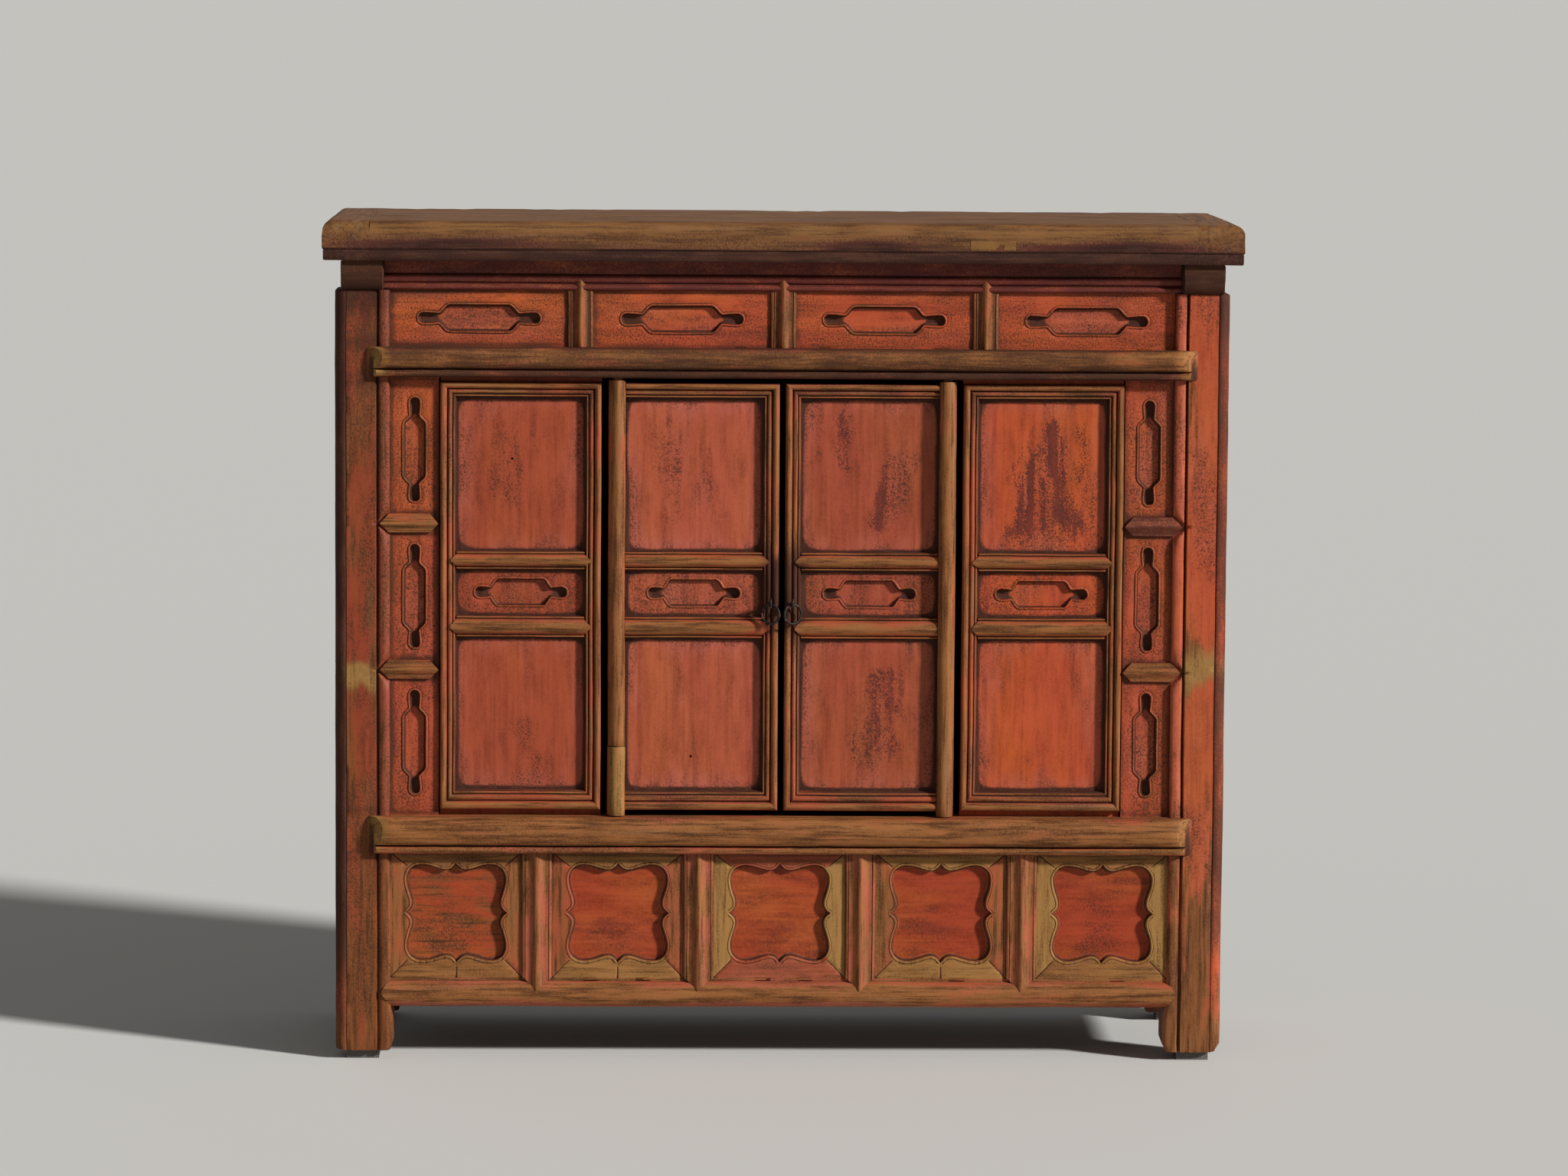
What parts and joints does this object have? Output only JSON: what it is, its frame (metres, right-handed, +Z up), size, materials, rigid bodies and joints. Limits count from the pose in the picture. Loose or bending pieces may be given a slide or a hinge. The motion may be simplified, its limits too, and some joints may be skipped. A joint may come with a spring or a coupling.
{
  "type": "sideboard cabinet",
  "caption": "Antique lacquered wooden sideboard with pivot-hung double doors, fixed side leaves, carved frieze and scalloped apron panels, and iron ring pulls.",
  "frame": {"origin": "on the floor, under the middle of the top", "axes": "+X along the front to the right as seen from the front, +Y to the back, +Z up; the doors face -Y"},
  "size_m": [1.198, 0.4, 1.104],
  "materials": {
    "lacquer": "vermilion lacquer, crackled and rubbed",
    "worn_frame": "lacquer worn through to ochre-brown wood",
    "dark_wood": "bare aged wood, darkened",
    "iron": "hand-forged iron wire, dark and rusty",
    "pad": "grey felted foot pad"
  },
  "bodies": {
    "carcass": {"top_board": "worn_frame", "top_end_batten_left": "worn_frame", "top_end_batten_right": "worn_frame", "post_front_left": "worn_frame", "post_front_right": "worn_frame", "post_back_left": "dark_wood", "post_back_right": "dark_wood", "top_bearer_left": "worn_frame", "top_bearer_right": "worn_frame", "front_top_rail": "worn_frame", "upper_rail": "worn_frame", "lower_rail": "worn_frame", "bottom_rail": "worn_frame", "frieze_stile_1": "worn_frame", "frieze_stile_2": "worn_frame", "frieze_stile_3": "worn_frame", "frieze_panel_1": "lacquer", "frieze_panel_2": "lacquer", "frieze_panel_3": "lacquer", "frieze_panel_4": "lacquer", "column_panel_left": "lacquer", "column_panel_right": "lacquer", "column_muntin_left_lower": "worn_frame", "column_muntin_left_upper": "worn_frame", "column_muntin_right_lower": "worn_frame", "column_muntin_right_upper": "worn_frame", "leaf_frame_left": "worn_frame", "leaf_frame_right": "worn_frame", "leaf_panel_left": "lacquer", "leaf_panel_right": "lacquer", "apron_stile_1": "worn_frame", "apron_stile_2": "worn_frame", "apron_stile_3": "worn_frame", "apron_stile_4": "worn_frame", "apron_panel_1": "lacquer", "apron_panel_2": "lacquer", "apron_panel_3": "lacquer", "apron_panel_4": "lacquer", "apron_panel_5": "lacquer", "side_panel_left": "dark_wood", "side_panel_right": "dark_wood", "side_bottom_rail_left": "dark_wood", "side_bottom_rail_right": "dark_wood", "back_panel": "dark_wood", "back_bottom_rail": "dark_wood", "floor_board": "dark_wood", "foot_pad_front_left": "pad", "foot_pad_front_right": "pad", "foot_pad_back_left": "pad", "foot_pad_back_right": "pad"},
    "door_left": {"door_pivot_stile_left": "worn_frame", "door_frame_left": "worn_frame", "door_panel_left": "lacquer", "ring_staple_left": "iron"},
    "ring_left": {"ring_pull_left": "iron"},
    "door_right": {"door_pivot_stile_right": "worn_frame", "door_frame_right": "worn_frame", "door_panel_right": "lacquer", "ring_staple_right": "iron"},
    "ring_right": {"ring_pull_right": "iron"}
  },
  "joints": [
    {"name": "door_left_swing", "type": "hinge", "parent": "carcass", "child": "door_left", "pos_m": [-0.215, -0.171, 0.332], "axis": [0, 0, -1], "range_deg": [0, 120]},
    {"name": "door_right_swing", "type": "hinge", "parent": "carcass", "child": "door_right", "pos_m": [0.215, -0.171, 0.332], "axis": [0, 0, 1], "range_deg": [0, 120]},
    {"name": "ring_left_swing", "type": "hinge", "parent": "door_left", "child": "ring_left", "pos_m": [-0.0145, -0.1875, 0.6051], "axis": [-1, 0, 0], "range_deg": [0, 110]},
    {"name": "ring_right_swing", "type": "hinge", "parent": "door_right", "child": "ring_right", "pos_m": [0.0145, -0.1875, 0.6051], "axis": [-1, 0, 0], "range_deg": [0, 110]}
  ]
}
